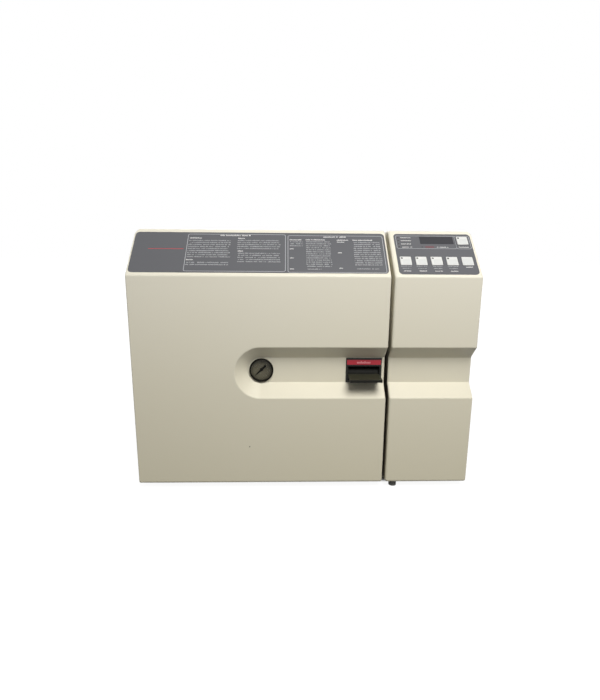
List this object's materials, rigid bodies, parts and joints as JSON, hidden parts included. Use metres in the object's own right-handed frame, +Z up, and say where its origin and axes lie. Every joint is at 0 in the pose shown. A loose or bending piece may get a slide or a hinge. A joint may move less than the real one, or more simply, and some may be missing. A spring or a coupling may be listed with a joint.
{
  "type": "table-top steam steriliser",
  "caption": "Table-top steam steriliser with a hinged sloped-top door, pressure gauge and latch in a stadium recess, and a control column.",
  "frame": {"origin": "on the table under the middle of the machine", "axes": "+Z up, -Y towards the user, +X to the right as seen from the front"},
  "size_m": [0.51, 0.616, 0.394],
  "materials": {
    "cream_plastic": "fine moulded texture",
    "cream_paint": "satin powder coat",
    "grey_label": "printed film",
    "key_white": "smooth",
    "smoked_window": "polished",
    "lamp": "polished",
    "circuit_board": "solder resist",
    "zinc_steel": "zinc plated",
    "stainless": "brushed",
    "polished_steel": "polished",
    "aluminium": "bead blasted",
    "insulation": "fibre blanket",
    "heater": "mica band",
    "rubber": "matt",
    "silicone": "matt",
    "black_plastic": "fine texture",
    "tank_plastic": "moulded",
    "brass": "machined",
    "copper": "drawn tube",
    "red_label": "printed film",
    "dial_face": "printed",
    "needle_black": "matt",
    "clear_lens": "clear"
  },
  "bodies": {
    "case": {"base_pan": "zinc_steel", "bulkhead": "zinc_steel", "case_wrap": "cream_paint", "rear_panel": "cream_paint", "feet": "rubber", "cabinet_screws": "polished_steel", "column_cover": "cream_plastic", "control_overlay": "grey_label", "display_window": "smoked_window", "display_board": "circuit_board", "status_lamps": "lamp", "chamber": "stainless", "chamber_insulation": "insulation", "heater_bands": "heater", "rear_saddle": "zinc_steel", "tray_rack": "stainless", "tray_lower": "aluminium", "tray_upper": "aluminium", "water_reservoir": "tank_plastic", "lid_hinge": "cream_plastic", "relief_valve": "brass", "drain_cock": "brass", "power_inlet": "black_plastic", "fuse_holders": "black_plastic", "copper_lines": "copper", "solenoid_valves": "brass", "transformer": "heater", "control_board": "circuit_board", "hinge_case_leaves": "zinc_steel", "latch_keeper": "zinc_steel"},
    "door": {"door_cover": "cream_plastic", "instruction_plate": "grey_label", "door_liner": "stainless", "liner_posts": "zinc_steel", "strongback": "zinc_steel", "pressure_plate": "aluminium", "plate_fixings": "zinc_steel", "door_gasket": "silicone", "hinge_door_leaves": "zinc_steel", "hinge_pins": "polished_steel", "gauge_case": "black_plastic", "gauge_dial": "dial_face", "gauge_lens": "clear_lens", "latch_pocket": "black_plastic", "latch_label": "red_label"},
    "latch": {"latch_lever": "black_plastic", "latch_shaft": "polished_steel", "latch_hook": "zinc_steel"},
    "needle": {"gauge_needle": "needle_black"},
    "lid": {"reservoir_lid": "cream_plastic"},
    "relief": {"relief_lever": "polished_steel"},
    "drain": {"drain_knob": "black_plastic"},
    "rocker": {"power_rocker": "black_plastic"},
    "program_key_1_body": {"program_key_1": "key_white"},
    "program_key_2_body": {"program_key_2": "key_white"},
    "program_key_3_body": {"program_key_3": "key_white"},
    "program_key_4_body": {"program_key_4": "key_white"},
    "stop_key_body": {"stop_key": "key_white"},
    "start_key_body": {"start_key": "key_white"}
  },
  "joints": [
    {"name": "door_swing", "type": "hinge", "parent": "case", "child": "door", "pos_m": [-0.25, -0.2105, 0.2], "axis": [0, 0, -1], "range_deg": [0, 110]},
    {"name": "latch_lift", "type": "hinge", "parent": "door", "child": "latch", "pos_m": [0.091, -0.2615, 0.178], "axis": [-1, 0, 0], "range_deg": [-4.5, 35]},
    {"name": "gauge_needle_turn", "type": "hinge", "parent": "door", "child": "needle", "pos_m": [-0.0655, -0.2745, 0.187], "axis": [0, 1, 0], "range_deg": [0, 270], "stiffness_Nm_per_rad": 0.0001},
    {"name": "lid_open", "type": "hinge", "parent": "case", "child": "lid", "pos_m": [0.1648, 0.195, 0.3909], "axis": [-1, 0, 0], "range_deg": [0, 100]},
    {"name": "relief_pull", "type": "hinge", "parent": "case", "child": "relief", "pos_m": [-0.12568, 0.3046, 0.27686], "axis": [1, 0, 0], "range_deg": [0, 30], "stiffness_Nm_per_rad": 0.05},
    {"name": "drain_turn", "type": "hinge", "parent": "case", "child": "drain", "pos_m": [0.215, 0.304, 0.06], "axis": [0, 1, 0], "range_deg": [0, 90]},
    {"name": "power_press", "type": "hinge", "parent": "case", "child": "rocker", "pos_m": [-0.19, 0.2945, 0.089], "axis": [1, 0, 0], "range_deg": [0, 16]},
    {"name": "program_key_1_press", "type": "slide", "parent": "case", "child": "program_key_1_body", "axis": [0, 0.6961, -0.7179], "range_m": [0, 0.0008], "stiffness_N_per_m": 1500},
    {"name": "program_key_2_press", "type": "slide", "parent": "case", "child": "program_key_2_body", "axis": [0, 0.6961, -0.7179], "range_m": [0, 0.0008], "stiffness_N_per_m": 1500},
    {"name": "program_key_3_press", "type": "slide", "parent": "case", "child": "program_key_3_body", "axis": [0, 0.6961, -0.7179], "range_m": [0, 0.0008], "stiffness_N_per_m": 1500},
    {"name": "program_key_4_press", "type": "slide", "parent": "case", "child": "program_key_4_body", "axis": [0, 0.6961, -0.7179], "range_m": [0, 0.0008], "stiffness_N_per_m": 1500},
    {"name": "stop_key_press", "type": "slide", "parent": "case", "child": "stop_key_body", "axis": [0, 0.6961, -0.7179], "range_m": [0, 0.0008], "stiffness_N_per_m": 1500},
    {"name": "start_key_press", "type": "slide", "parent": "case", "child": "start_key_body", "axis": [0, 0.6961, -0.7179], "range_m": [0, 0.0008], "stiffness_N_per_m": 1500}
  ]
}
